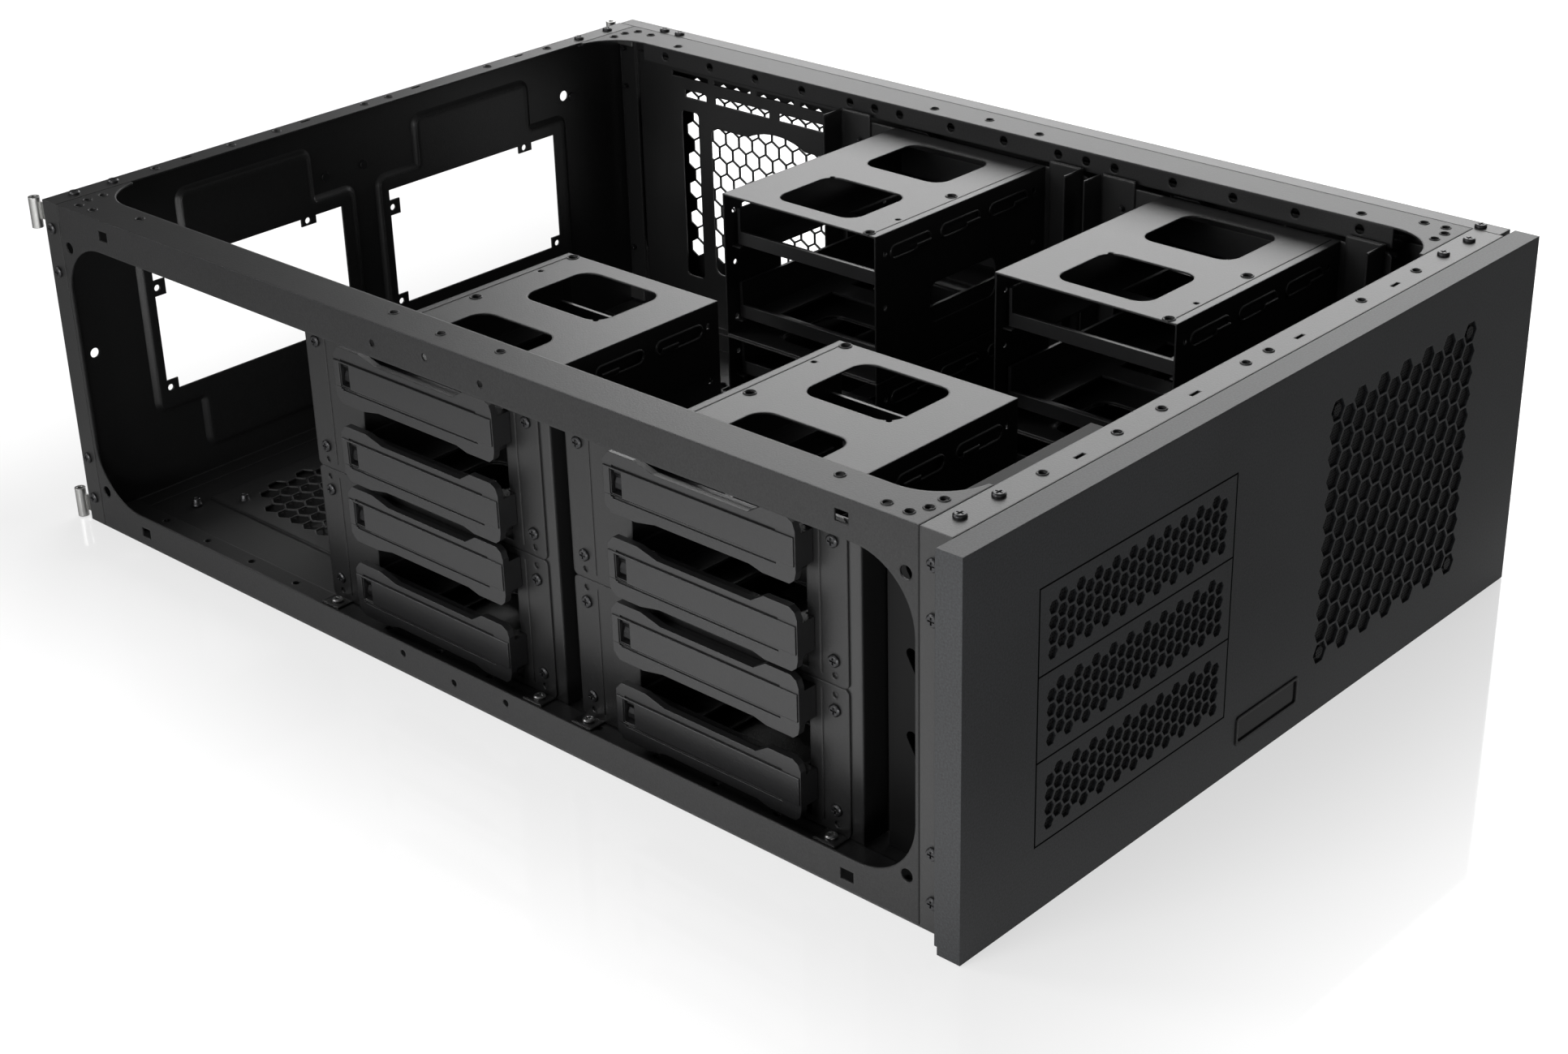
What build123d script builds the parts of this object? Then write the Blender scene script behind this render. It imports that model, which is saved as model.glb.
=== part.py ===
from build123d import *
import os

os.makedirs("parts", exist_ok=True)

# Driving dimensions of the case, in millimetres
case_height = 202.0
body_width = 457.0
panel_width = 480.0
panel_depth = 14.6
rail_depth = 18.3
frame_depth = 631.8
wrap_depth = 14.2
sheet = 1.0
panel_sheet = 1.5
hinge_standoff = 8.5
barrel_radius = 3.3
badge_proud = 0.6

# Fits and clearances
pin_clearance = 0.05
running_gap = 0.3
slide_gap = 0.3
hole_clearance = 0.1
seam_gap = 0.5
stack_gap = 0.3

# The origin is the bottom centre of the whole case: +X right, +Y to the rear, +Z up
overall_depth = (badge_proud + panel_depth + rail_depth + frame_depth
                 + wrap_depth + hinge_standoff + barrel_radius)
x_side = body_width / 2
y_face = -overall_depth / 2 + badge_proud
y_rail = y_face + panel_depth
y_seam = y_rail + rail_depth
y_rear = y_seam + frame_depth
y_back = y_rear + wrap_depth
y_hinge = y_back + hinge_standoff
y_middle = (y_seam + y_rear) / 2
flange_top = 2 * sheet

# Side frame: one stamped ring with a top and a bottom flange
side_opening_low = 18.5
side_opening_high = case_height - 20.0
side_corner_radius = 35.0
end_strip = 2.0
top_flange_width = 24.0
top_corner_radius = 31.0
corner_reach = 50.0
bottom_flange_width = 31.0
bottom_row_inset = 25.0
bottom_pitch = 41.35
lip_height = 11.0
tongue_length = 12.0
tongue_inset = 4.0

# Screws: pan heads with a cross recess
screw_shank_radius = 1.5
screw_head_radius = 3.3
screw_head_height = 1.7
screw_length = 5.0
foot_screw_length = 2.9
screw_hole_radius = screw_shank_radius + hole_clearance
recess_length = 3.8
recess_width = 0.9
recess_depth = 1.0
flange_screw_inset = (17.5, 43.7)
side_screw_low = (16.0, 42.3)
screw_row_offset = 8.0

# Hexagon vents
vent_flats = 10.9
vent_pitch = 12.19
cover_flats = 6.2
cover_pitch = 7.45
ROOT3 = 3 ** 0.5

# Drive cages: two columns a side, two cages a column, two trays a cage
cage_body_width = 116.0
cage_depth = 154.0
cage_face_inset = {-1: 30.0, 1: 26.0}
cage_plate_width = 183.0
cage_screw_spread = 166.0
cage_screw_end = 13.0
cage_low = 3.0
cage_split = 84.0
cage_high = 172.0
far_lift = 16.5
crease_inset = 8.0
crease_width = 0.6
crease_depth = 0.4
hem_width = 5.0
column_places_y = {-1: (351.5, 148.5), 1: (320.0, 120.5)}
plate_shift = {-1: 9.75, 1: 2.0}
tray_heights = ((25.9, 71.5), (107.2, 152.8))
cage_windows = (40.0, 116.5)
cage_window_size = (50.0, 60.0)
post_width = 24.0
post_web = 18.0
post_outer_reach = 15.9
post_inner_reach = 4.5
post_rise = {-1: 0.0, 1: 4.7}
foot_reach = 10.0
foot_screw_reach = 4.5
foot_width = 14.0

# Drive trays
tray_face_width = 124.0
tray_face_thickness = 11.7
tray_lip_thickness = 4.0
tray_lip_round = 1.4
tray_length = 157.0
tray_inset = 6.0
tray_shift = (cage_body_width - tray_face_width) / 2 - sheet + tray_inset - slide_gap
tray_band = 17.0
tray_floor_drop = 14.0
tray_floor = 1.6
tray_wall = 2.0
ledge_width = 6.0

# Front bays
bay_left = 41.1
bay_width = 149.3
bay_low = 35.4
bay_pitch = 43.57
bay_count = 3
bay_height = bay_count * bay_pitch
cover_gap = 0.3
cover_flange = 10.0
cover_arm = 38.0
cover_columns = 21
cover_rows = 4
bay_cage_depth = 69.0
filter_thickness = 0.8


def span(a, b):
    """Return the two values as (low, high)."""
    return (min(a, b), max(a, b))


def block(x, y, z, mode=Mode.ADD):
    """Add or cut a box given by its low and high value along each axis."""
    centre = ((x[0] + x[1]) / 2, (y[0] + y[1]) / 2, (z[0] + z[1]) / 2)
    with Locations(centre):
        Box(x[1] - x[0], y[1] - y[0], z[1] - z[0], mode=mode)


def drill(points, radius, axis, length):
    """Cut round holes, centred on the points, along the named axis."""
    turn = {"X": (0, 90, 0), "Y": (90, 0, 0), "Z": (0, 0, 0)}[axis]
    with Locations(*points):
        Cylinder(radius, length, rotation=turn, mode=Mode.SUBTRACT)


def from_side(side, distance):
    """X of a place the given distance inside the left (-1) or right (+1) side."""
    return side * (x_side - distance)


def mid(limits):
    """Middle of a (low, high) pair."""
    return (limits[0] + limits[1]) / 2


def hex_column_field(columns, tall, pitch):
    """Centres of a field of flat-topped hexagons: every other column is one shorter."""
    step = pitch * ROOT3 / 2
    centres = []
    for column in range(columns):
        count = tall - column % 2
        for row in range(count):
            across = (column - (columns - 1) / 2) * step
            centres.append((across, (row - (count - 1) / 2) * pitch))
    return centres


def save(builder, name):
    """Label a finished piece and write it as one STEP file."""
    builder.part.label = name
    export_step(builder.part, "parts/" + name + ".step")


# Side frames
def frame_screw_spots(side):
    """Screw places that join one side frame to the front rail and the rear panel."""
    top = []
    flank = []
    for y in (y_seam - screw_row_offset, y_rear + screw_row_offset):
        for inset in flange_screw_inset:
            top.append((from_side(side, inset), y, case_height))
        for low in side_screw_low:
            flank.append((side * x_side, y, low))
            flank.append((side * x_side, y, case_height - low))
    return top, flank


def side_frame(name, side):
    opening_middle = (side_opening_low + side_opening_high) / 2
    web_x = span(from_side(side, 0), from_side(side, sheet))
    with BuildPart() as frame:
        with BuildSketch(Plane.YZ.offset(web_x[0])):
            with Locations((y_middle, (sheet + case_height) / 2)):
                Rectangle(frame_depth, case_height - sheet)
            with Locations((y_middle, opening_middle)):
                RectangleRounded(frame_depth - 2 * end_strip,
                                 side_opening_high - side_opening_low,
                                 side_corner_radius, mode=Mode.SUBTRACT)
        extrude(amount=sheet)
        flange_x = span(from_side(side, 0), from_side(side, corner_reach))
        with BuildSketch(Plane.XY.offset(case_height - sheet)):
            with Locations((mid(flange_x), y_middle)):
                Rectangle(corner_reach, frame_depth)
            with Locations((0, y_middle)):
                RectangleRounded(body_width - 2 * top_flange_width,
                                 frame_depth - 2 * end_strip,
                                 top_corner_radius, mode=Mode.SUBTRACT)
        extrude(amount=sheet)
        lip_y = (y_seam + end_strip + top_corner_radius,
                 y_rear - end_strip - top_corner_radius)
        block(span(from_side(side, top_flange_width), from_side(side, top_flange_width - sheet)),
              lip_y, (case_height - sheet - lip_height, case_height - sheet))
        block(span(from_side(side, 0), from_side(side, bottom_flange_width)),
              (y_seam, y_rear), (sheet, flange_top))
        for low, high in ((y_seam - tongue_length, y_seam + end_strip),
                          (y_rear - end_strip, y_rear + tongue_length)):
            block(span(from_side(side, sheet), from_side(side, 2 * sheet)), (low, high),
                  (tongue_inset, case_height - tongue_inset))
            block(span(from_side(side, tongue_inset), from_side(side, corner_reach)),
                  (low, high), (case_height - 2 * sheet, case_height - sheet))
            block(span(from_side(side, tongue_inset), from_side(side, bottom_flange_width)),
                  (low, high), (sheet, flange_top))
        top, flank = frame_screw_spots(side)
        drill(top, screw_hole_radius, "Z", 4 * sheet)
        drill(flank, screw_hole_radius, "X", 6 * sheet)
        side_frame_holes(side)
    save(frame, name)


def bottom_row(side):
    """Tapping holes along a bottom flange, apart from those that the feet are screwed to."""
    row = []
    for step in range(-7, 8):
        y = y_middle + step * bottom_pitch
        if all(abs(y - foot[1]) > 8 for foot in foot_screw_spots(side)):
            row.append((from_side(side, bottom_row_inset), y, flange_top))
    return row


def foot_screw_spots(side):
    """Screws through the feet of the posts, seated on top of the feet."""
    spots = []
    for body_y, plate_y in column_places(side):
        for edge in (-1, 1):
            spots.append((from_side(side, cage_face_inset[side] - foot_screw_reach),
                          plate_y + edge * cage_screw_spread / 2, flange_top + sheet))
    return spots


def side_frame_holes(side):
    """Tapping holes and lock slots punched in a side frame."""
    corner_spots = ((7.5, 11.3), (15.8, 7.3), (26.0, 7.4), (8.0, 24.0), (16.0, 57.5))
    lock_length = 8.0
    lock_height = 6.0
    top = []
    for x, y in corner_spots:
        top.append((from_side(side, x), y_seam + y, case_height))
        top.append((from_side(side, x), y_rear - y, case_height))
    for x, y in ((15.2, 40.0), (11.9, 0.0), (15.2, -40.0)):
        top.append((from_side(side, x), y_middle + y, case_height))
    drill(top, 2.0, "Z", 2.5 * sheet)
    web = []
    for y, low in ((7.0, 24.5), (-7.0, 24.5)):
        end = y_seam if y > 0 else y_rear
        web.append((side * x_side, end + y, low))
        web.append((side * x_side, end + y, case_height - low))
    drill(web, 3.4, "X", 2.5 * sheet)
    middle = []
    for y, low in ((40.5, 12.0), (0.0, 8.8), (-40.5, 12.0)):
        middle.append((side * x_side, y_middle + y, low))
        middle.append((side * x_side, y_middle + y, case_height - low))
    drill(middle, 2.0, "X", 2.5 * sheet)
    lock_x = span(from_side(side, -sheet), from_side(side, 1.5 * sheet))
    for y in (y_seam + 43.0, y_rear - 43.0):
        for z in (8.5, case_height - 9.5):
            block(lock_x, (y - lock_length / 2, y + lock_length / 2),
                  (z - lock_height / 2, z + lock_height / 2), Mode.SUBTRACT)
    lip_pitch = 40.4
    lip_hole_z = case_height - 5.8
    steps = [step + 0.5 for step in range(-7, 7)] + [-2, 2]
    lip = [(from_side(side, top_flange_width), y_middle + step * lip_pitch, lip_hole_z)
           for step in steps]
    drill(lip, 2.8, "X", 4 * sheet)
    drill(bottom_row(side), 2.0, "Z", 10 * sheet)
    drill(foot_screw_spots(side), screw_hole_radius, "Z", 10 * sheet)
    drill([(from_side(side, 8.4), y_rear - 28.5, flange_top)], 3.0, "Z", 2.5 * sheet)


# Front rail: the channel behind the front panel
rail_marks = (72.9, 127.5, 161.5, 229.8, 249.2, 332.0, 384.6)
rail_slots = (97.0, 185.0, 273.0, 361.0)


def flange_marks(y_marks, y_slots):
    """Ringed tapping holes and narrow slots in a top flange."""
    marks = [(x - x_side, y_marks, case_height) for x in rail_marks]
    drill(marks, 1.8, "Z", 3 * sheet)
    for x in rail_slots:
        block((x - x_side - 3.5, x - x_side + 3.5), (y_slots - 1.0, y_slots + 1.0),
              (case_height - 1.5 * sheet, case_height + sheet), Mode.SUBTRACT)


def front_rail():
    vent_open = (270.0 - x_side, 409.0 - x_side)
    vent_open_z = (27.0, 175.5)
    with BuildPart() as rail:
        block((-x_side, x_side), (y_rail, y_rail + sheet), (0, case_height))
        block((-x_side, x_side), (y_rail, y_seam), (0, sheet))
        block((-x_side, x_side), (y_rail, y_seam - seam_gap),
              (case_height - sheet, case_height))
        for side in (-1, 1):
            block(span(side * x_side, from_side(side, sheet)), (y_rail, y_seam - seam_gap),
                  (0, case_height))
        block((bay_left - x_side, bay_left + bay_width - x_side), (y_rail - 1, y_rail + 2),
              (bay_low, bay_low + bay_height), Mode.SUBTRACT)
        block(vent_open, (y_rail - 1, y_rail + 2), vent_open_z, Mode.SUBTRACT)
        for side in (-1, 1):
            top, flank = frame_screw_spots(side)
            drill(top, screw_hole_radius, "Z", 4 * sheet)
            drill(flank, screw_hole_radius, "X", 6 * sheet)
        flange_marks(y_seam - 8.8, y_seam - 10.8)
    save(rail, "front_rail")


# Rear panel with two power supply openings
supply_left = (62.6, 244.1)
supply_window = (143.4, 78.3)
supply_window_low = 63.0
supply_hole_radius = 2.0
supply_holes = ((2.1, 65.2), (140.1, 65.2), (2.1, 129.4), (116.3, 139.4))
emboss_depth = 2.5


def rear_window(left):
    """One power supply window, with the ears that hold its four screw holes."""
    low = supply_window_low
    high = low + supply_window[1]
    x0 = left - x_side
    x1 = x0 + supply_window[0]
    ear = 8.0
    with BuildSketch(Plane.XZ.offset(-y_back - 1)) as window:
        with BuildLine():
            Polyline((x0 + ear, low), (x1 - ear, low), (x1 - ear, low + 7), (x1, low + 7),
                     (x1, high), (x0 + 122.8, high), (x0 + 122.8, high - 5),
                     (x0 + 111.4, high - 5), (x0 + 111.4, high), (x0, high),
                     (x0, high - 7), (x0 + ear, high - 7), (x0 + ear, high - 17),
                     (x0, high - 17), (x0, low + 7), (x0 + ear, low + 7), close=True)
        make_face()
    extrude(window.sketch, amount=wrap_depth, mode=Mode.SUBTRACT)
    spots = [(x0 + x, y_back, z) for x, z in supply_holes]
    drill(spots, supply_hole_radius, "Y", 12)


def emboss_outline(left, grow):
    """The stepped outline of a recess round one power supply window."""
    x0 = left - x_side - 5.0 - grow
    x1 = left - x_side + supply_window[0] + 9.0 + grow
    neck0 = left - x_side + 28.0 - grow
    neck1 = left - x_side + 121.0 + grow
    with BuildSketch(Plane.XZ.offset(-y_back)) as outline:
        with BuildLine():
            Polyline((neck0, 20 - grow), (neck1, 20 - grow), (neck1, 53.5 - grow),
                     (x1, 53.5 - grow), (x1, 148.5 + grow), (neck1, 148.5 + grow),
                     (neck1, 180.5 + grow), (neck0, 180.5 + grow), (neck0, 148.5 + grow),
                     (x0, 148.5 + grow), (x0, 53.5 - grow), (neck0, 53.5 - grow), close=True)
        make_face()
        fillet(outline.vertices(), 4)
    return outline.sketch


def rear_panel():
    with BuildPart() as rear:
        block((-x_side, x_side), (y_back - sheet, y_back), (0, case_height))
        block((-x_side, x_side), (y_rear, y_back), (0, sheet))
        block((-x_side, x_side), (y_rear + seam_gap, y_back),
              (case_height - sheet, case_height))
        for side in (-1, 1):
            block(span(side * x_side, from_side(side, sheet)), (y_rear + seam_gap, y_back),
                  (0, case_height))
        for left in supply_left:
            extrude(emboss_outline(left, sheet), amount=sheet + emboss_depth)
        for left in supply_left:
            extrude(emboss_outline(left, 0), amount=emboss_depth, mode=Mode.SUBTRACT)
        for left in supply_left:
            rear_window(left)
        for side in (-1, 1):
            top, flank = frame_screw_spots(side)
            drill(top, screw_hole_radius, "Z", 4 * sheet)
            drill(flank, screw_hole_radius, "X", 6 * sheet)
            leaf_slots(side)
        flange_marks(y_rear + 8.5, y_rear + 10.7)
        drill([(18.2 - x_side, y_back, 102.2)], 3.0, "Y", 6)
        drill([(401.1 - x_side, y_back, 164.5)], 3.5, "Y", 6)
        drill(rivet_spots(), rivet_radius + hole_clearance, "Y", 6)
    save(rear, "rear_panel")


# Rivets in the rear panel
rivet_radius = 1.6
rivet_head_radius = 2.8
rivet_inset = (197.4, 228.0, 408.0)
rivet_height = 162.4


def rivet_spots():
    return [(x - x_side, y_back, rivet_height) for x in rivet_inset]


def rivets():
    with BuildPart() as group:
        with Locations(*[(x, y - sheet / 2, z) for x, y, z in rivet_spots()]):
            Cylinder(rivet_radius, sheet, rotation=(90, 0, 0))
        for shift in (0.5, -sheet - 0.5):
            with Locations(*[(x, y + shift, z) for x, y, z in rivet_spots()]):
                Cylinder(rivet_head_radius, 1.0, rotation=(90, 0, 0))
    save(group, "rear_rivets")


# Hinge barrels: rolled leaves that pass through the rear panel
barrel_top = (case_height - 18.3, case_height - 0.2)
barrel_bottom = (0.2, 18.3)
barrel_bore = barrel_radius * 0.5
leaf_start = 14.0
leaf_inset = 2 * sheet
leaf_heights = ((3.5, 13.5), (case_height - 13.5, case_height - 3.5))


def leaf_slots(side):
    """Slots in the rear wall for the two hinge leaves."""
    leaf_x = (from_side(side, leaf_inset + sheet + hole_clearance),
              from_side(side, leaf_inset - hole_clearance))
    for low, high in leaf_heights:
        block(span(*leaf_x), (y_back - 2 * sheet, y_back + sheet),
              (low - hole_clearance, high + hole_clearance), Mode.SUBTRACT)


def hinge_barrels(name, side):
    axis_x = side * x_side
    leaf_x = span(from_side(side, leaf_inset + sheet), from_side(side, leaf_inset))
    with BuildPart() as barrels:
        for leaf_z in leaf_heights:
            block(leaf_x, (y_back - leaf_start, y_hinge), leaf_z)
        for low, high in (barrel_bottom, barrel_top):
            with Locations((axis_x, y_hinge, (low + high) / 2)):
                Cylinder(barrel_radius, high - low)
        for low, high in (barrel_bottom, barrel_top):
            with Locations((axis_x, y_hinge, (low + high) / 2)):
                Cylinder(barrel_bore, high - low, mode=Mode.SUBTRACT)
    save(barrels, name)


# Floor plate with two vent fields
floor_vents = ((71.0, 199.0), (258.0, 386.0))
floor_vent_y = (441.0, 598.0)
floor_rise = 1.5


def floor_plate():
    middle_y = y_seam + mid(floor_vent_y)
    raised_x = (62.8 - x_side, x_side - 62.8)
    raised_y = (y_seam + floor_vent_y[0] - 9, y_seam + floor_vent_y[1] + 12)
    with BuildPart() as floor:
        block((-x_side, x_side), (y_seam + 0.1, y_rear - 0.1), (0, sheet))
        block((raised_x[0] - sheet, raised_x[1] + sheet),
              (raised_y[0] - sheet, raised_y[1] + sheet), (0, sheet + floor_rise))
        block(raised_x, raised_y, (-sheet, floor_rise), Mode.SUBTRACT)
        for vent in floor_vents:
            with BuildSketch(Plane.XY.offset(-sheet)) as field:
                centres = []
                for across, up in hex_column_field(12, 13, vent_pitch):
                    if abs(across) + abs(up) < 115:
                        centres.append((mid(vent) - x_side + across, middle_y + up))
                with Locations(*centres):
                    RegularPolygon(vent_flats / 2, 6, major_radius=False)
            extrude(field.sketch, amount=5 * sheet, mode=Mode.SUBTRACT)
        for side in (-1, 1):
            drill(bottom_row(side), 2.0, "Z", 10 * sheet)
            drill(foot_screw_spots(side), screw_hole_radius, "Z", 10 * sheet)
    save(floor, "floor_plate")


# Front panel
vent_columns = 13
vent_rows = 12
vent_centre = (339.5, 101.5)
badge_size = (55.6, 16.5)
badge_centre = (229.1, 21.7)
badge_pocket = 0.8
badge_radius = 2.5


def vent_hexes():
    centres = hex_column_field(vent_columns, vent_rows, vent_pitch)
    return [(vent_centre[0] - x_side + x, vent_centre[1] + z) for x, z in centres]


def front_panel():
    half = panel_width / 2
    with BuildPart() as panel:
        block((-half, half), (y_face, y_rail), (0, case_height))
        block((-half + panel_sheet, half - panel_sheet), (y_face + panel_sheet, y_rail - sheet),
              (panel_sheet, case_height - panel_sheet), Mode.SUBTRACT)
        block((-x_side + 3, x_side - 3), (y_rail - 2 * sheet, y_rail + 1),
              (panel_sheet, case_height - panel_sheet), Mode.SUBTRACT)
        for side in (-1, 1):
            block(span(side * (half + 1), side * (half - 2.5)), (y_rail - 1.5, y_rail + 1),
                  (-1, 4.3), Mode.SUBTRACT)
        block((-half - 1, half + 1), (y_rail - seam_gap, y_rail + 1),
              (case_height - panel_sheet, case_height + 1), Mode.SUBTRACT)
        block((bay_left - x_side, bay_left + bay_width - x_side), (y_face - 1, y_face + 3),
              (bay_low, bay_low + bay_height), Mode.SUBTRACT)
        with BuildSketch(Plane.XZ.offset(-y_face - 2 * panel_sheet)) as field:
            with Locations(*vent_hexes()):
                RegularPolygon(vent_flats / 2, 6, major_radius=False)
        extrude(field.sketch, amount=4 * panel_sheet, mode=Mode.SUBTRACT)
        with BuildSketch(Plane.XZ.offset(-y_face - badge_pocket)) as pocket:
            with Locations((badge_centre[0] - x_side, badge_centre[1])):
                RectangleRounded(badge_size[0] + 0.2, badge_size[1] + 0.2, badge_radius)
        extrude(pocket.sketch, amount=2, mode=Mode.SUBTRACT)
    save(panel, "front_panel")


def badge_plate():
    with BuildPart() as badge:
        with BuildSketch(Plane.XZ.offset(-y_face - badge_pocket)):
            with Locations((badge_centre[0] - x_side, badge_centre[1])):
                RectangleRounded(badge_size[0], badge_size[1], badge_radius)
        extrude(amount=badge_pocket + badge_proud)
        front = badge.faces().sort_by(Axis.Y)[0]
        chamfer(front.edges(), badge_proud * 0.8)
        with BuildSketch(Plane.XZ.offset(-y_face - 0.2)):
            with Locations((badge_centre[0] - x_side, badge_centre[1])):
                RectangleRounded(badge_size[0] - 4, badge_size[1] - 4, badge_radius - 1)
        extrude(amount=2, mode=Mode.SUBTRACT)
    save(badge, "badge_plate")


def vent_filter():
    """Fine mesh sheet behind the large vent, held by clips in its corner hexagons."""
    hexes = vent_hexes()
    reach_x = max(x for x, z in hexes) - min(x for x, z in hexes)
    reach_z = max(z for x, z in hexes) - min(z for x, z in hexes)
    centre = (vent_centre[0] - x_side, vent_centre[1])
    back = y_face + panel_sheet
    clips = [(centre[0] + i * reach_x / 2, back, centre[1] + j * reach_z / 2)
             for i in (-1, 1) for j in (-1, 1)]
    with BuildPart() as mesh:
        block((centre[0] - reach_x / 2 - 8, centre[0] + reach_x / 2 + 8),
              (back, back + filter_thickness),
              (centre[1] - reach_z / 2 - 8, centre[1] + reach_z / 2 + 8))
        with Locations(*clips):
            Cylinder(vent_flats * 0.3, 2.4, rotation=(90, 0, 0))
    save(mesh, "vent_filter")


# Bay covers, their mesh inserts and the cage behind them
def bay_cover(index, name):
    low = bay_low + index * bay_pitch + cover_gap / 2
    high = low + bay_pitch - cover_gap
    left = bay_left - x_side + cover_gap / 2
    right = left + bay_width - cover_gap
    with BuildPart() as cover:
        block((left, right), (y_face, y_face + cover_flange), (low, high))
        block((left + panel_sheet, right - panel_sheet),
              (y_face + panel_sheet, y_face + cover_flange + 1),
              (low + panel_sheet, high - panel_sheet), Mode.SUBTRACT)
        for x in ((left, left + sheet), (right - sheet, right)):
            block(x, (y_face, y_face + cover_arm), (low + 12, high - 12))
        with BuildSketch(Plane.XZ.offset(-y_face - 2 * panel_sheet)) as field:
            spots = []
            for column in range(cover_columns):
                across = (column - (cover_columns - 1) / 2) * cover_pitch * ROOT3 / 2
                shift = cover_pitch / 4 * (1 if column % 2 else -1)
                for row in range(cover_rows):
                    up = (row - (cover_rows - 1) / 2) * cover_pitch + shift
                    spots.append((mid((left, right)) + across, mid((low, high)) + up))
            with Locations(*spots):
                RegularPolygon(cover_flats / 2, 6, major_radius=False)
        extrude(field.sketch, amount=4 * panel_sheet, mode=Mode.SUBTRACT)
    save(cover, name)
    with BuildPart() as mesh:
        back = y_face + panel_sheet
        block((left + 2 * panel_sheet, right - 2 * panel_sheet),
              (back, back + filter_thickness), (low + 2 * panel_sheet, high - 2 * panel_sheet))
    save(mesh, name + "_mesh")


def bay_cage():
    """Open-ended cage for three wide drives, with slanted slots in its sides."""
    front = y_rail + sheet
    back = front + bay_cage_depth
    left = bay_left - x_side
    right = left + bay_width
    low = bay_low
    high = bay_low + bay_height
    with BuildPart() as cage:
        block((left - sheet, right + sheet), (front, back), (low - sheet, high + sheet))
        block((left, right), (front - 1, back + 1), (low, high), Mode.SUBTRACT)
        for index in range(bay_count):
            middle_z = low + (index + 0.5) * bay_pitch
            with BuildSketch(Plane.YZ.offset(left - 5)) as slots:
                with Locations((front + 25, middle_z), (front + 50, middle_z)):
                    SlotOverall(26, 6, rotation=60)
            extrude(slots.sketch, amount=bay_width + 10, mode=Mode.SUBTRACT)
        block((left + 20, right - 20), (front + 15, back - 15), (high - 1, high + 3),
              Mode.SUBTRACT)
        foot_z = (flange_top - sheet, low - sheet)
        for x in ((left - sheet, left), (right, right + sheet)):
            block(x, (front, back), foot_z)
    save(cage, "bay_cage")


# Drive cages
def cage_tops(side):
    """Low and high ends of the two cages in a column."""
    lift = far_lift if side > 0 else 0.0
    return ((cage_low + lift, cage_split + lift), (cage_split + lift, cage_high + lift))


def column_places(side):
    """Body centre and face plate centre of each column on one side."""
    return [(y_seam + y, y_seam + y + plate_shift[side]) for y in column_places_y[side]]


def drive_cage(name, side, body_y, plate_y, low, high, trays):
    half = cage_body_width / 2
    top = high - stack_gap

    def inward(a, b):
        return span(from_side(side, a), from_side(side, b))

    face = cage_face_inset[side]
    inner = face + cage_depth
    with BuildPart() as cage:
        block(inward(face, inner), (body_y - half, body_y + half), (low, top))
        block(inward(face - 1, inner + 1), (body_y - half + sheet, body_y + half - sheet),
              (low + sheet, top - sheet), Mode.SUBTRACT)
        with BuildSketch(Plane.YZ.offset(inward(face, face + sheet)[0])) as plate:
            with Locations((plate_y, (low + top) / 2)):
                RectangleRounded(cage_plate_width, top - low, 3)
            with Locations((body_y, (low + top) / 2)):
                Rectangle(cage_body_width - 2 * sheet, top - low - 8, mode=Mode.SUBTRACT)
        extrude(plate.sketch, amount=sheet)
        for window_at in cage_windows:
            with BuildSketch(Plane.XY.offset(low - 1)) as window:
                with Locations((from_side(side, face + window_at), body_y)):
                    RectangleRounded(*cage_window_size, 10)
            extrude(window.sketch, amount=high - low + 2, mode=Mode.SUBTRACT)
        cage_wall_cuts(side, body_y, low, top)
        for tray_z in trays:
            ledge_top = tray_z - tray_floor_drop - slide_gap
            for edge in (-1, 1):
                wall = body_y + edge * (half - sheet)
                block(inward(face + 10, inner - 6), span(wall, wall - edge * ledge_width),
                      (ledge_top - sheet, ledge_top))
        crease = cage_screw_spread / 2 - crease_inset
        for edge in (-1, 1):
            crease_y = plate_y + edge * crease
            block(inward(face - 1, face + crease_depth),
                  (crease_y - crease_width / 2, crease_y + crease_width / 2),
                  (low + 4, top - 4), Mode.SUBTRACT)
        hem_y = body_y - side * (half - hem_width)
        block(inward(face + 2, inner + 1), (hem_y - crease_width / 2, hem_y + crease_width / 2),
              (top - crease_depth, top + 1), Mode.SUBTRACT)
        ringed = [(150.4, 50.7), (75.7, 47.9)]
        small = [(124.5, 49.3), (93.4, -27.0)]
        drill([(from_side(side, face + x), body_y - side * y, top) for x, y in ringed],
              2.4, "Z", 6)
        drill([(from_side(side, face + x), body_y - side * y, top) for x, y in small],
              1.6, "Z", 6)
        spots = cage_screw_spots(side, plate_y, low, top)
        drill(spots, screw_hole_radius, "X", 6)
        extra = []
        for x, y, z in spots:
            extra.append((x, y, z + (8 if z > (low + top) / 2 else -8)))
        drill(extra, 1.6, "X", 2.5 * sheet)
    save(cage, name)


def cage_wall_cuts(side, body_y, low, top):
    """Long slots under the top edge and one large opening in both side walls."""
    face = cage_face_inset[side]
    with BuildSketch(Plane.XZ.offset(-body_y - cage_body_width)) as cuts:
        for start in (19.0, 63.0, 107.0):
            with Locations((from_side(side, face + start + 17), top - 13)):
                SlotOverall(34, 7)
        with Locations((from_side(side, face + cage_depth / 2), (low + top) / 2 - 10)):
            RectangleRounded(60, 24, 6)
    extrude(cuts.sketch, amount=2 * cage_body_width, mode=Mode.SUBTRACT)
    small = [(from_side(side, face + x), body_y, z)
             for x in (12.0, 146.0) for z in (low + 10, mid((low, top)), top - 12)]
    drill(small, 1.6, "Y", 2 * cage_body_width)


def cage_screw_spots(side, plate_y, low, top):
    """Four face screws of one cage."""
    spots = []
    for edge in (-1, 1):
        for z in (low + cage_screw_end, top - cage_screw_end):
            spots.append((from_side(side, cage_face_inset[side]),
                          plate_y + edge * cage_screw_spread / 2, z))
    return spots


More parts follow.
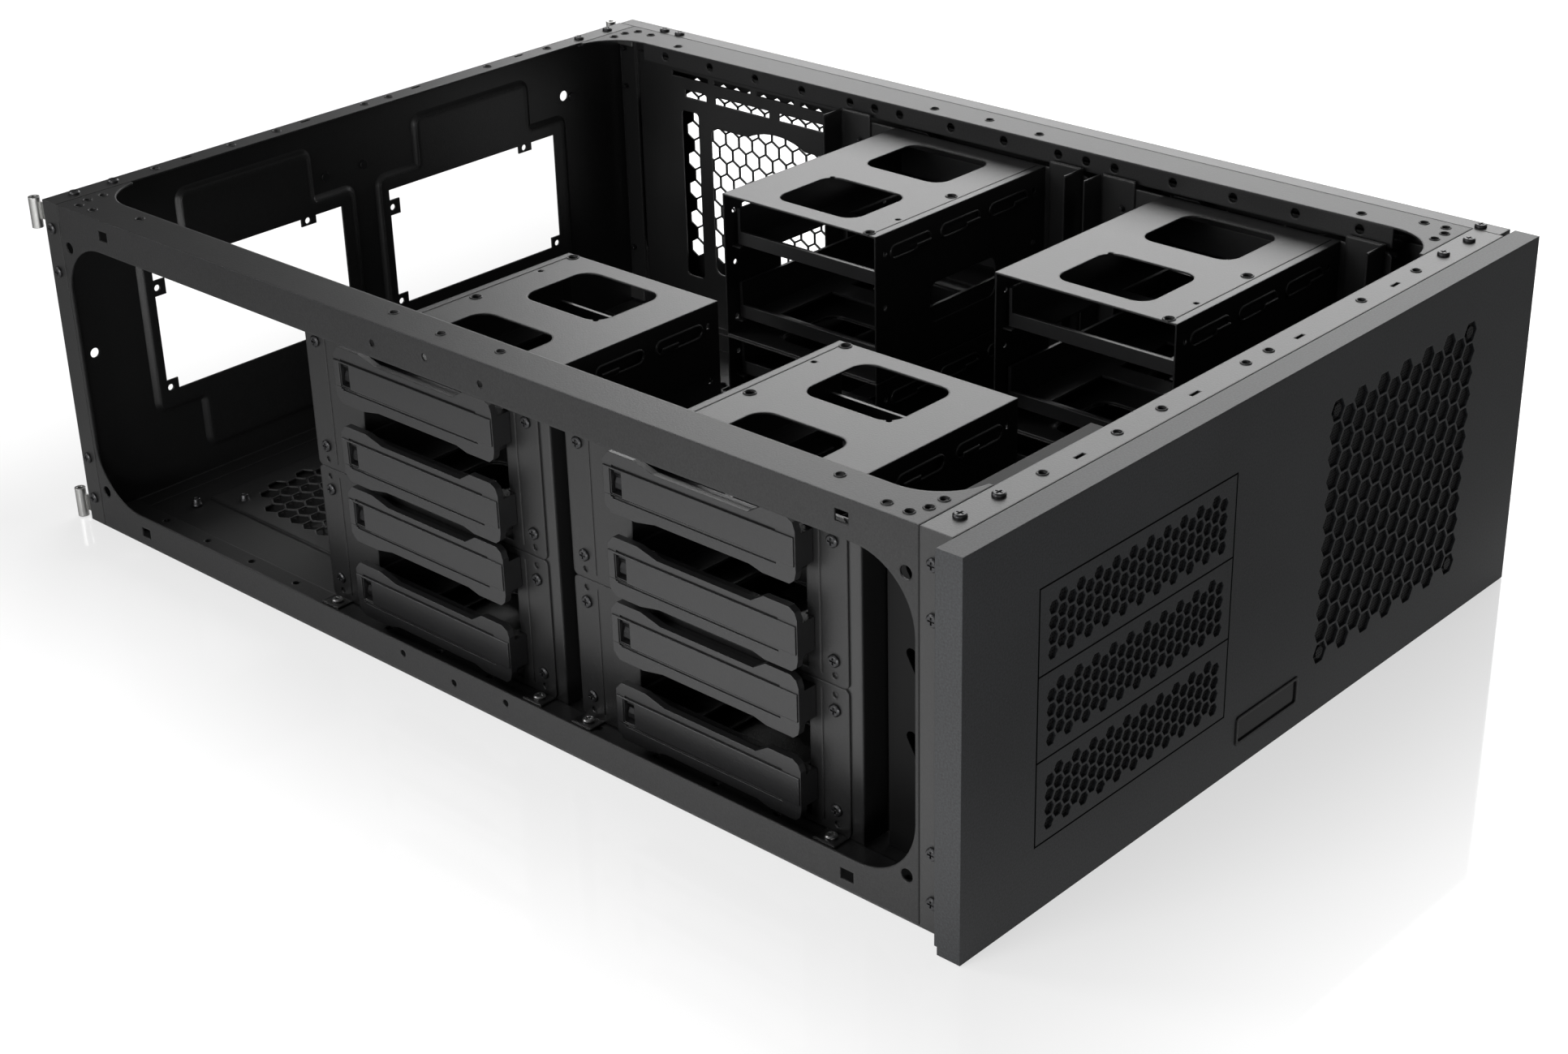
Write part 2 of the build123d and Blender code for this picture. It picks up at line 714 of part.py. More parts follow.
def drive_tray(name, side, body_y, height):
    half = tray_face_width / 2
    middle_y = body_y - side * tray_shift
    back = cage_face_inset[side] - slide_gap
    front = back - tray_face_thickness
    floor_low = height - tray_floor_drop

    def inward(a, b):
        return span(from_side(side, a), from_side(side, b))

    def along(u):
        return middle_y - side * (u - half)

    profile = ((5, 17), (21, 17), (29, 12), (90, 12), (103, 15.5), (120, 15.5), (124, 11),
               (124, -13), (120, -17), (103, -17), (90, -14.5), (29, -14.5), (21, -16.5),
               (4, -16.5), (1, -14), (0, -10), (0, 11), (1.5, 15))
    with BuildPart() as tray:
        with BuildSketch(Plane.YZ.offset(inward(front, front + tray_lip_thickness)[0])) as lips:
            with BuildLine():
                Polyline(*[(along(u), height + v) for u, v in profile], close=True)
            make_face()
            fillet(lips.vertices(), tray_lip_round)
        extrude(lips.sketch, amount=tray_lip_thickness)
        block(inward(front, back), span(along(0), along(tray_face_width)),
              (height - tray_band / 2, height + tray_band / 2))
        rear_bar = back + tray_length - tray_face_thickness
        far_inset = tray_face_width - tray_inset
        block(inward(front + 2, rear_bar), span(along(tray_inset), along(far_inset)),
              (floor_low, floor_low + tray_floor))
        for u in (tray_inset, far_inset - tray_wall):
            block(inward(front + 2, rear_bar), span(along(u), along(u + tray_wall)),
                  (floor_low, height + 8))
        block(inward(rear_bar - tray_wall, rear_bar), span(along(tray_inset), along(far_inset)),
              (floor_low, floor_low + 8))
        for start in (22, 84):
            block(inward(back + start, back + start + 46), span(along(24), along(100)),
                  (floor_low - 1, floor_low + 3), Mode.SUBTRACT)
        for edge in (-1, 1):
            groove_z = height + edge * tray_band / 2
            block(inward(front - 1, front + 1), span(along(12), along(118)),
                  (groove_z - 0.5, groove_z + 0.5), Mode.SUBTRACT)
        block(inward(front - 1, front + 4), span(along(111.5), along(118.5)),
              (height - 6, height + 6.5), Mode.SUBTRACT)
        block(inward(front - 1, front + 1.5), span(along(107), along(119.5)),
              (height - 8.2, height - 6.8), Mode.SUBTRACT)
    save(tray, name)


# Posts that carry the cages
def post(name, side, screw_y, outward, far_top):
    """Angle post behind a cage's face flange, with a screwed foot tab."""
    low = flange_top
    face = cage_face_inset[side] + sheet
    reach_out = post_outer_reach if outward * side > 0 else post_inner_reach
    edge_out = screw_y + outward * reach_out
    edge_in = edge_out - outward * post_width

    def inward(a, b):
        return span(from_side(side, a), from_side(side, b))

    with BuildPart() as angle:
        block(inward(face, face + sheet), span(edge_out, edge_in), (low, far_top))
        block(inward(face, face + post_web), span(edge_out, edge_out - outward * sheet),
              (low, far_top))
        block(inward(face + sheet, cage_face_inset[side] - foot_reach),
              (screw_y - foot_width / 2, screw_y + foot_width / 2), (low, low + sheet))
        drill([(from_side(side, cage_face_inset[side] - foot_screw_reach), screw_y, low)],
              screw_hole_radius, "Z", 6)
        for cage_span in cage_tops(side):
            for z in (cage_span[0] + cage_screw_end,
                      cage_span[1] - stack_gap - cage_screw_end):
                drill([(from_side(side, face), screw_y, z)], screw_hole_radius, "X", 6)
    save(angle, name)


# Fan bracket on the right, between the far cages and the door
bracket_inset = 4.0
bracket_foot = 8.0
bracket_half_length = frame_depth / 2 - 7.9
bracket_top = case_height - 14.0
fan_pitch = 182.5
fan_hole = 58.0
fan_middle_z = 95.0


def fan_bracket():
    plate_x = (from_side(1, bracket_inset + sheet), from_side(1, bracket_inset))
    plate_y = (y_middle - bracket_half_length, y_middle + bracket_half_length)
    with BuildPart() as bracket:
        block(plate_x, plate_y, (flange_top, bracket_top))
        block((plate_x[1] - bracket_foot, plate_x[1]), plate_y, (flange_top, flange_top + sheet))
        with BuildSketch(Plane.YZ.offset(plate_x[0] - 20)) as cuts:
            for index in (-1, 0, 1):
                with Locations((y_middle + index * fan_pitch, fan_middle_z)):
                    RectangleRounded(119, 104, 6)
                    Circle(fan_hole)
            for index in (-1, 1):
                with Locations((y_middle + index * 261, fan_middle_z)):
                    RectangleRounded(16, 118, 3)
                for step in range(-2, 3):
                    with Locations((y_middle + index * fan_pitch + step * 38.5, 178.5)):
                        Rectangle(33, 3)
                for centre, length in ((-72.5, 20), (-30, 49), (30.5, 55), (72, 18)):
                    with Locations((y_middle + index * (fan_pitch - centre), 166.3)):
                        Rectangle(length, 5)
            for step in range(-1, 2):
                with Locations((y_middle + step * 48, 166.3)):
                    Rectangle(42, 5)
        extrude(cuts.sketch, amount=40, mode=Mode.SUBTRACT)
    save(bracket, "fan_bracket")


# Right door: a perforated pan on two lift-off pins
door_depth = (panel_width - body_width) / 2 - running_gap
door_front_gap = 16.0
door_sheet = 1.0
door_foot_gap = 0.6
door_x = (x_side + running_gap, x_side + running_gap + door_depth)
door_y = (y_seam - door_front_gap, y_back - sheet)
door_rows = 12
door_fields = ((517.0, 13), (314.5, 11), (112.0, 13))
door_field_middle = 108.0


def right_door():
    with BuildPart() as door:
        block(door_x, door_y, (door_foot_gap, case_height))
        block((door_x[0] - 1, door_x[1] - door_sheet),
              (door_y[0] + door_sheet, door_y[1] - door_sheet),
              (door_foot_gap + door_sheet, case_height - door_sheet), Mode.SUBTRACT)
        with BuildSketch(Plane.YZ.offset(door_x[1] - 5)) as field:
            step = vent_pitch * ROOT3 / 2
            spots = []
            for centre, columns in door_fields:
                for row in range(door_rows):
                    count = columns - row % 2
                    for column in range(count):
                        spots.append((y_seam + centre + (column - (count - 1) / 2) * vent_pitch,
                                      door_field_middle + (row - (door_rows - 1) / 2) * step))
            with Locations(*spots):
                RegularPolygon(vent_flats / 2, 6, major_radius=False, rotation=30)
        extrude(field.sketch, amount=10, mode=Mode.SUBTRACT)
        for spot in door_screw_spots():
            drill([spot], screw_hole_radius, "Z", 4)
    save(door, "right_door")


def door_screw_spots():
    x = door_x[0] + 4.7
    return [(x, y_seam + y, case_height) for y in (-2.2, 593.5, 607.5)]


def door_hinge_pins():
    """Two tabs on the door's rear edge, each with a pin that enters a barrel."""
    axis = (x_side, y_hinge)
    tab = 1.6
    leaf = 22.0
    pin_radius = barrel_bore - pin_clearance
    with BuildPart() as pins:
        for up in (True, False):
            if up:
                tab_z = (barrel_top[0] - 0.9 - tab, barrel_top[0] - 0.9)
                pin_z = (tab_z[1], barrel_top[1] - 3)
                leaf_z = (tab_z[1] - leaf, tab_z[1])
            else:
                tab_z = (barrel_bottom[1] + 0.9, barrel_bottom[1] + 0.9 + tab)
                pin_z = (barrel_bottom[0] + 3, tab_z[0])
                leaf_z = (tab_z[0], tab_z[0] + leaf)
            block((axis[0] + 1.5, door_x[1] - 1.5), (door_y[1], door_y[1] + tab), leaf_z)
            block((axis[0] + 1.5, door_x[1] - 1.5), (door_y[1], axis[1]), tab_z)
            with Locations((axis[0], axis[1], mid(tab_z))):
                Cylinder(barrel_radius, tab)
            block((axis[0], axis[0] + 3), (axis[1] - barrel_radius, axis[1] + barrel_radius),
                  tab_z)
            with Locations((axis[0], axis[1], mid(pin_z))):
                Cylinder(pin_radius, pin_z[1] - pin_z[0])
    save(pins, "door_hinge_pins")


# Screw groups
def screw_shape(length):
    """One pan-head screw along +Z, its seat at the origin."""
    with BuildPart() as screw:
        with Locations((0, 0, screw_head_height / 2)):
            Cylinder(screw_head_radius, screw_head_height)
        chamfer(screw.edges().filter_by(GeomType.CIRCLE).sort_by(Axis.Z)[-1], 0.7)
        with Locations((0, 0, -length / 2)):
            Cylinder(screw_shank_radius, length)
        with Locations((0, 0, screw_head_height)):
            Box(recess_length, recess_width, 2 * recess_depth, mode=Mode.SUBTRACT)
            Box(recess_width, recess_length, 2 * recess_depth, mode=Mode.SUBTRACT)
    return screw.part


def screw_group(name, spots, length=screw_length):
    """A group of equal screws; each spot is a point with the way its head looks."""
    turns = {"+Z": (0, 0, 0), "+X": (0, 90, 0), "-X": (0, -90, 0)}
    pattern = screw_shape(length)
    with BuildPart() as group:
        with Locations(*[Location(point, turns[way]) for point, way in spots]):
            add(pattern)
    save(group, name)


def all_screws():
    frame_spots = []
    cage_spots = []
    foot_spots = []
    for side, way in ((-1, "-X"), (1, "+X")):
        top, flank = frame_screw_spots(side)
        frame_spots += [(point, "+Z") for point in top]
        frame_spots += [(point, way) for point in flank]
        for body_y, plate_y in column_places(side):
            for low, high in cage_tops(side):
                cage_spots += [(point, way) for point in
                               cage_screw_spots(side, plate_y, low, high - stack_gap)]
        foot_spots += [(point, "+Z") for point in foot_screw_spots(side)]
    screw_group("frame_screws", frame_spots)
    screw_group("cage_screws", cage_spots)
    screw_group("foot_screws", foot_spots, foot_screw_length)
    screw_group("door_screws", [(point, "+Z") for point in door_screw_spots()])


def build_columns():
    """Cages, trays and posts of the four drive columns."""
    for side, hand in ((-1, "left"), (1, "right")):
        spans = cage_tops(side)
        lift = far_lift if side > 0 else 0.0
        for (body_y, plate_y), place in zip(column_places(side), ("rear", "front")):
            for (low, high), trays, level in zip(spans, tray_heights, ("lower", "upper")):
                heights = [z + lift for z in trays]
                column = hand + "_" + place + "_" + level
                drive_cage("cage_" + column, side, body_y, plate_y, low, high, heights)
                for number, height in enumerate(heights, 1):
                    drive_tray("tray_" + column + "_" + str(number), side, body_y, height)
            for outward, end in ((1, "back"), (-1, "fore")):
                post("post_" + hand + "_" + place + "_" + end, side,
                     plate_y + outward * cage_screw_spread / 2, outward,
                     spans[1][1] - stack_gap + post_rise[side])


side_frame("left_side_frame", -1)
side_frame("right_side_frame", 1)
front_rail()
rear_panel()
rivets()
hinge_barrels("left_hinge_barrels", -1)
hinge_barrels("right_hinge_barrels", 1)
floor_plate()
front_panel()
badge_plate()
vent_filter()
for bay, bay_name in enumerate(("bay_cover_lower", "bay_cover_middle", "bay_cover_upper")):
    bay_cover(bay, bay_name)
bay_cage()
build_columns()
fan_bracket()
right_door()
door_hinge_pins()
all_screws()
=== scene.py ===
import math

import bmesh
import bpy
from mathutils import Matrix, Vector


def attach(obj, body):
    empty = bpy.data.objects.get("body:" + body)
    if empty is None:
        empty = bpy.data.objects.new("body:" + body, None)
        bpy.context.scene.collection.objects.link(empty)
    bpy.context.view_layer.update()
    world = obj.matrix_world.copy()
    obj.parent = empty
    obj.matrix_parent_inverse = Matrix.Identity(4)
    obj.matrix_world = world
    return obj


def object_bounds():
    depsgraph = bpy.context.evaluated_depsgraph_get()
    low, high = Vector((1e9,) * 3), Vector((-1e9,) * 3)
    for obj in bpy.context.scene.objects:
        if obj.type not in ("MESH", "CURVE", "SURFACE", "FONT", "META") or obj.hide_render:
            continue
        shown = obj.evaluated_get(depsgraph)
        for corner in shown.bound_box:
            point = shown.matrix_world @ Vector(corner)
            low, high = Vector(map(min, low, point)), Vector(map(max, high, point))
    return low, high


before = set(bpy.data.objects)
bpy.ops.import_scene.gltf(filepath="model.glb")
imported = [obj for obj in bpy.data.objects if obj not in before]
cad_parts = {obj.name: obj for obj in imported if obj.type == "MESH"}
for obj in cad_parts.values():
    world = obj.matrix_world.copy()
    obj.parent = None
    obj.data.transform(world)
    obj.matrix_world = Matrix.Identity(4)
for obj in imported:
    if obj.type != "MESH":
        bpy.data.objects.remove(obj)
cad_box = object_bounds()
scene = bpy.context.scene
MM = 0.001

# Camera: the photograph's own viewing angle. It stands about 1.5 m from the case and looks down
# on its front left corner.
eye = Vector((-978.09, -938.23, 690.26)) * MM
view_right = Vector((0.675025, -0.737409, -0.02385))
view_up = Vector((0.344314, 0.286267, 0.894147))
view_back = view_right.cross(view_up).normalized()
camera_data = bpy.data.cameras.new("photo_camera")
camera_data.sensor_fit = "HORIZONTAL"
camera_data.sensor_width = 36.0
camera_data.lens = 60.21
camera_data.clip_start = 0.05
camera = bpy.data.objects.new("photo_camera", camera_data)
scene.collection.objects.link(camera)
camera.matrix_world = Matrix.Translation(eye) @ Matrix(
    (view_right, view_up, view_back)).transposed().to_4x4()
scene.camera = camera

# Studio: a paper-white world for the camera and a dim one for everything else, so that the
# black steel keeps its tone, and six soft boxes, the widest behind the case to its right.
world_dim, world_white = 0.10, 1.0
scene.view_settings.view_transform = "Standard"


def feed(tree, socket, value):
    """Links a node's input to another socket, or sets it to a plain value."""
    if isinstance(value, bpy.types.NodeSocket):
        tree.links.new(value, socket)
    else:
        socket.default_value = value


def maths(tree, operation, *values):
    """A Math node that works on sockets and numbers."""
    node = tree.nodes.new("ShaderNodeMath")
    node.operation = operation
    for socket, value in zip(node.inputs, values):
        feed(tree, socket, value)
    return node.outputs["Value"]


def ramp(tree, value, start=0.0, end=1.0, low=0.0, high=1.0, curve="LINEAR"):
    """A Map Range node: low up to start, high from end on."""
    node = tree.nodes.new("ShaderNodeMapRange")
    node.interpolation_type = curve
    for label, setting in (("Value", value), ("From Min", start), ("From Max", end),
                           ("To Min", low), ("To Max", high)):
        feed(tree, node.inputs[label], setting)
    return node.outputs["Result"]


world = bpy.data.worlds.new("studio")
scene.world = world
world.use_nodes = True
tree = world.node_tree
background = tree.nodes["Background"]
background.inputs["Color"].default_value = (1.0, 1.0, 1.0, 1.0)
rays = tree.nodes.new("ShaderNodeLightPath")
seen = maths(tree, "MAXIMUM", rays.outputs["Is Camera Ray"], rays.outputs["Is Transmission Ray"])
feed(tree, background.inputs["Strength"], ramp(tree, seen, low=world_dim, high=world_white))

# Each soft box: its place, the point that it looks at, its size in metres and its watts
soft_boxes = {
    "back_light": ((2.65, 1.05, 1.45), (0.0, 0.0, 0.15), (3.2, 1.6), 64),
    "top_light": ((0.2, 0.3, 2.4), (0.0, 0.0, 0.1), (2.6, 2.6), 8),
    "side_light": ((-2.4, 0.8, 0.9), (0.0, 0.0, 0.1), (1.8, 1.4), 20),
    "corner_light": ((-1.2, -0.10, 0.45), (-0.2285, -0.25, 0.05), (0.5, 0.5), 6),
    "edge_light": ((-1.1, 1.6, 1.7), (-0.15, 0.0, 0.15), (0.6, 0.6), 11),
    "fold_light": ((-1.6, -1.7, 0.25), (-0.15, -0.1, 0.1), (0.5, 0.3), 9),
}
for name, (place, aim, (width, height), watts) in soft_boxes.items():
    data = bpy.data.lights.new(name, "AREA")
    data.shape = "RECTANGLE"
    data.size, data.size_y = width, height
    data.energy = watts
    lamp = bpy.data.objects.new(name, data)
    scene.collection.objects.link(lamp)
    lamp.location = place
    lamp.rotation_euler = (Vector(aim) - Vector(place)).to_track_quat("-Z", "Y").to_euler()

# Studio floor: glossy white acrylic under the case. Beneath the case its colour is painted
# near-black and its glow cut, a painted shadow, and close to it the glow that the camera sees is
# painted a little darker, a painted shade; it mirrors the case weakly, and further off it fades
# into the white background.
floor_reach, floor_drop = 12.0, 0.0005
half_footprint = {"X": 0.2285, "Y": 0.3385}
painted_shadow_edge, shaded_width, thrown_width = 0.012, 0.24, 0.06
mirror_start, mirror_end = 0.35, 1.1
floor_shadow, floor_white = (0.02, 0.02, 0.02, 1), (0.35, 0.35, 0.35, 1)
floor_mesh = bpy.data.meshes.new("studio_floor")
floor_mesh.from_pydata([(-floor_reach, -floor_reach, 0), (floor_reach, -floor_reach, 0),
                        (floor_reach, floor_reach, 0), (-floor_reach, floor_reach, 0)],
                       [], [(0, 1, 2, 3)])
studio_floor = bpy.data.objects.new("studio_floor", floor_mesh)
scene.collection.objects.link(studio_floor)
studio_floor.location.z = cad_box[0][2] - floor_drop
floor_look = bpy.data.materials.new("studio_floor")
floor_look.use_nodes = True
tree = floor_look.node_tree
tree.nodes.clear()
place = tree.nodes.new("ShaderNodeTexCoord")
parts = tree.nodes.new("ShaderNodeSeparateXYZ")
tree.links.new(place.outputs["Object"], parts.inputs["Vector"])
outside = maths(tree, "MAXIMUM", *(
    maths(tree, "SUBTRACT", maths(tree, "ABSOLUTE", parts.outputs[axis]), half)
    for axis, half in half_footprint.items()))
# Painted shadow under the case: inside the footprint the floor's glow falls to nothing and its
# colour to floor_shadow, over a short soft edge.
clear_of_painted_shadow = ramp(tree, outside, start=-painted_shadow_edge, end=0.0)
# What the camera sees of the floor, its glow painted darker close to the case as painted shade,
# and the weaker glow that it throws on the steel
camera_glow_with_painted_shade = ramp(tree, outside, end=shaded_width, low=0.70, curve="SMOOTHSTEP")
towards_front = ramp(tree, parts.outputs["Y"], start=-0.20, end=0.50, low=0.95, high=0.05)
close = ramp(tree, outside, end=thrown_width, low=0.6)
lit_part = maths(tree, "MAXIMUM",
                 ramp(tree, parts.outputs["Y"], start=-0.42, end=-0.30, low=0.12),
                 ramp(tree, parts.outputs["X"], start=-0.24, end=-0.30))
thrown = maths(tree, "MULTIPLY", maths(tree, "MULTIPLY", towards_front, close), lit_part)
rays = tree.nodes.new("ShaderNodeLightPath")
glow_level = ramp(tree, rays.outputs["Is Camera Ray"], low=thrown, high=camera_glow_with_painted_shade)
glow = tree.nodes.new("ShaderNodeEmission")
glow.inputs["Color"].default_value = (1, 1, 1, 1)
feed(tree, glow.inputs["Strength"], maths(tree, "MULTIPLY", glow_level, clear_of_painted_shadow))
# The floor's colour: near-black painted shadow under the case, white elsewhere.
white = tree.nodes.new("ShaderNodeMix")
white.data_type = "RGBA"
white.inputs["A"].default_value = floor_shadow
white.inputs["B"].default_value = floor_white
tree.links.new(clear_of_painted_shadow, white.inputs["Factor"])
diffuse = tree.nodes.new("ShaderNodeBsdfDiffuse")
tree.links.new(white.outputs["Result"], diffuse.inputs["Color"])
add = tree.nodes.new("ShaderNodeAddShader")
tree.links.new(diffuse.outputs["BSDF"], add.inputs[0])
tree.links.new(glow.outputs["Emission"], add.inputs[1])
gloss = tree.nodes.new("ShaderNodeBsdfGlossy")
gloss.inputs["Roughness"].default_value = 0.05
fresnel = tree.nodes.new("ShaderNodeFresnel")
fresnel.inputs["IOR"].default_value = 1.6
nearby = ramp(tree, outside, start=mirror_start, end=mirror_end, low=1.0, high=0.0)
mix = tree.nodes.new("ShaderNodeMixShader")
feed(tree, mix.inputs["Fac"], maths(tree, "MULTIPLY", fresnel.outputs["Fac"], nearby))
tree.links.new(add.outputs["Shader"], mix.inputs[1])
tree.links.new(gloss.outputs["BSDF"], mix.inputs[2])
output = tree.nodes.new("ShaderNodeOutputMaterial")
tree.links.new(mix.outputs["Shader"], output.inputs["Surface"])
floor_mesh.materials.append(floor_look)

# Side frames: one ring of stamped sheet steel on each side, powder-coated black. Their flanges
# are turned in at top and bottom, and the tapping holes in the top flanges have rolled rims.
x_side, case_height = 228.5, 202.0
y_seam, y_rear = -312.15, 319.65
y_middle = (y_seam + y_rear) / 2
# (inset from the side, distance from the flange's end or from its middle) of each hole, in mm
corner_holes = ((7.5, 11.3), (15.8, 7.3), (26.0, 7.4), (8.0, 24.0), (16.0, 57.5))
middle_holes = ((15.2, 40.0), (11.9, 0.0), (15.2, -40.0))


def powder_coat_group():
    """The shared powder coat: grain in colour and height, and softened sheet edges."""
    group = bpy.data.node_groups.new("powder_coat", "ShaderNodeTree")
    sockets = group.interface
    for label, value in (("Grain", 2200.0), ("Height", 0.35), ("Edge", 0.0006), ("Speckle", 0.35)):
        socket = sockets.new_socket(label, in_out="INPUT", socket_type="NodeSocketFloat")
        socket.default_value = value
    tint = sockets.new_socket("Colour", in_out="INPUT", socket_type="NodeSocketColor")
    tint.default_value = (0.05, 0.05, 0.05, 1)
    sockets.new_socket("Colour", in_out="OUTPUT", socket_type="NodeSocketColor")
    sockets.new_socket("Normal", in_out="OUTPUT", socket_type="NodeSocketVector")
    nodes, links = group.nodes, group.links
    entry = nodes.new("NodeGroupInput")
    leave = nodes.new("NodeGroupOutput")
    place = nodes.new("ShaderNodeTexCoord")
    grain = nodes.new("ShaderNodeTexNoise")
    grain.inputs["Detail"].default_value = 2.0
    links.new(place.outputs["Object"], grain.inputs["Vector"])
    links.new(entry.outputs["Grain"], grain.inputs["Scale"])
    broad = nodes.new("ShaderNodeTexNoise")
    broad.inputs["Scale"].default_value = 14.0
    links.new(place.outputs["Object"], broad.inputs["Vector"])
    edge = nodes.new("ShaderNodeBevel")
    edge.samples = 4
    links.new(entry.outputs["Edge"], edge.inputs["Radius"])
    bump = nodes.new("ShaderNodeBump")
    bump.inputs["Distance"].default_value = 0.00006
    links.new(entry.outputs["Height"], bump.inputs["Strength"])
    links.new(grain.outputs["Fac"], bump.inputs["Height"])
    links.new(edge.outputs["Normal"], bump.inputs["Normal"])
    links.new(bump.outputs["Normal"], leave.inputs["Normal"])
    # Both noises lie about a half, so taking 0.625 from their weighted sum centres it
    spread = maths(group, "MULTIPLY_ADD", broad.outputs["Fac"], 0.25, grain.outputs["Fac"])
    centred = maths(group, "SUBTRACT", spread, 0.625)
    lift = maths(group, "ADD", maths(group, "MULTIPLY", centred, entry.outputs["Speckle"]), 1.0)
    vary = nodes.new("ShaderNodeVectorMath")
    vary.operation = "SCALE"
    links.new(entry.outputs["Colour"], vary.inputs[0])
    links.new(lift, vary.inputs["Scale"])
    links.new(vary.outputs["Vector"], leave.inputs["Colour"])
    return group


powder_coat = powder_coat_group()


def coated(name, colour, roughness, metallic=0.0, specular=0.5, **tune):
    """A finish with the shared grain; tune sets the group's named inputs."""
    look = bpy.data.materials.new(name)
    look.use_nodes = True
    nodes, links = look.node_tree.nodes, look.node_tree.links
    shader = nodes["Principled BSDF"]
    shader.inputs["Roughness"].default_value = roughness
    shader.inputs["Metallic"].default_value = metallic
    shader.inputs["Specular IOR Level"].default_value = specular
    grain = nodes.new("ShaderNodeGroup")
    grain.node_tree = powder_coat
    grain.inputs["Colour"].default_value = (*colour, 1)
    for label, value in tune.items():
        grain.inputs[label].default_value = value
    links.new(grain.outputs["Colour"], shader.inputs["Base Color"])
    links.new(grain.outputs["Normal"], shader.inputs["Normal"])
    return look


def finish_with(look, *names):
    """Gives CAD nodes their finish."""
    for name in names:
        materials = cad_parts[name].data.materials
        materials.clear()
        materials.append(look)


black_steel = coated("black_steel", (0.008, 0.008, 0.0082), 0.40, specular=0.6,
                     Speckle=1.6, Grain=1100.0, Height=1.0, Edge=0.0014)
frame_steel = coated("frame_steel", (0.013, 0.013, 0.0133), 0.42, specular=0.36,
                     Speckle=1.6, Grain=1100.0, Height=1.0, Edge=0.0016)
finish_with(frame_steel, "left_side_frame", "right_side_frame")


def rim_tree():
    """Rolled rims: a tube swept round a rounded outline and set on every point."""
    tree = bpy.data.node_groups.new("rolled_rims", "GeometryNodeTree")
    sockets = tree.interface
    sockets.new_socket("Points", in_out="INPUT", socket_type="NodeSocketGeometry")
    for label in ("Width", "Height", "Rim radius"):
        sockets.new_socket(label, in_out="INPUT", socket_type="NodeSocketFloat")
    sockets.new_socket("Turn", in_out="INPUT", socket_type="NodeSocketRotation")
    sockets.new_socket("Rims", in_out="OUTPUT", socket_type="NodeSocketGeometry")
    nodes, links = tree.nodes, tree.links
    entry = nodes.new("NodeGroupInput")
    leave = nodes.new("NodeGroupOutput")
    sharp = nodes.new("GeometryNodeCurvePrimitiveQuadrilateral")
    links.new(entry.outputs["Width"], sharp.inputs["Width"])
    links.new(entry.outputs["Height"], sharp.inputs["Height"])
    outline = nodes.new("GeometryNodeFilletCurve")
    outline.mode = "POLY"
    outline.inputs["Count"].default_value = 6
    outline.inputs["Limit Radius"].default_value = True
    links.new(sharp.outputs["Curve"], outline.inputs["Curve"])
    # Just under half the height, so that the fillets of one end never meet
    links.new(maths(tree, "MULTIPLY", entry.outputs["Height"], 0.499), outline.inputs["Radius"])
    profile = nodes.new("GeometryNodeCurvePrimitiveCircle")
    profile.inputs["Resolution"].default_value = 8
    links.new(entry.outputs["Rim radius"], profile.inputs["Radius"])
    rim = nodes.new("GeometryNodeCurveToMesh")
    links.new(outline.outputs["Curve"], rim.inputs["Curve"])
    links.new(profile.outputs["Curve"], rim.inputs["Profile Curve"])
    rims = nodes.new("GeometryNodeInstanceOnPoints")
    links.new(entry.outputs["Points"], rims.inputs["Points"])
    links.new(rim.outputs["Mesh"], rims.inputs["Instance"])
    links.new(entry.outputs["Turn"], rims.inputs["Rotation"])
    real = nodes.new("GeometryNodeRealizeInstances")
    links.new(rims.outputs["Instances"], real.inputs["Geometry"])
    paint = nodes.new("GeometryNodeSetMaterial")
    paint.inputs["Material"].default_value = black_steel
    links.new(real.outputs["Geometry"], paint.inputs["Geometry"])
    links.new(paint.outputs["Geometry"], leave.inputs["Rims"])
    return tree


rolled_rims = rim_tree()


def roll_rims(name, spots, width, height, rim_radius, turn=(0.0, 0.0, 0.0)):
    """Rims on spots (mm): round where width and height agree, else round a slot."""
    points = bpy.data.meshes.new(name + "_points")
    points.from_pydata([Vector(spot) * MM for spot in spots], [], [])
    piece = bpy.data.objects.new(name, points)
    scene.collection.objects.link(piece)
    maker = piece.modifiers.new("rims", "NODES")
    maker.node_group = rolled_rims
    settings = {"Width": width * MM, "Height": height * MM, "Rim radius": rim_radius * MM,
                "Turn": turn}
    for socket in rolled_rims.interface.items_tree:
        if socket.name in settings:
            maker[socket.identifier] = settings[socket.name]
    bpy.context.view_layer.update()
    ready = piece.evaluated_get(bpy.context.evaluated_depsgraph_get())
    mesh = bpy.data.meshes.new_from_object(ready)
    piece.modifiers.clear()
    piece.data = mesh
    mesh.name = name
    for face in mesh.polygons:
        face.use_smooth = True
    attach(piece, "case")


def from_side(side, inset):
    """The x of a point that lies inset mm inside the left (-1) or right (1) side."""
    return side * (x_side - inset)


flange_spots = []
for side in (-1, 1):
    for inset, along in corner_holes:
        flange_spots.append((from_side(side, inset), y_seam + along, case_height))
        flange_spots.append((from_side(side, inset), y_rear - along, case_height))
    for inset, along in middle_holes:
        flange_spots.append((from_side(side, inset), y_middle + along, case_height))
roll_rims("flange_rims", flange_spots, width=5.2, height=5.2, rim_radius=0.4)

# Front rail and rear panel: a folded channel and a folded pan of the same black sheet steel,
# riveted to the side frames at their corners. A row of rimmed holes runs along the top of each.
finish_with(black_steel, "front_rail", "rear_panel")
rail_setback, rear_setback = 8.8, 8.5
hole_marks = (72.9, 127.5, 161.5, 229.8, 249.2, 332.0, 384.6)
rail_spots = []
for mark in hole_marks:
    rail_spots.append((mark - x_side, y_seam - rail_setback, case_height))
    rail_spots.append((mark - x_side, y_rear + rear_setback, case_height))
roll_rims("rail_rims", rail_spots, width=5.0, height=5.0, rim_radius=0.5)

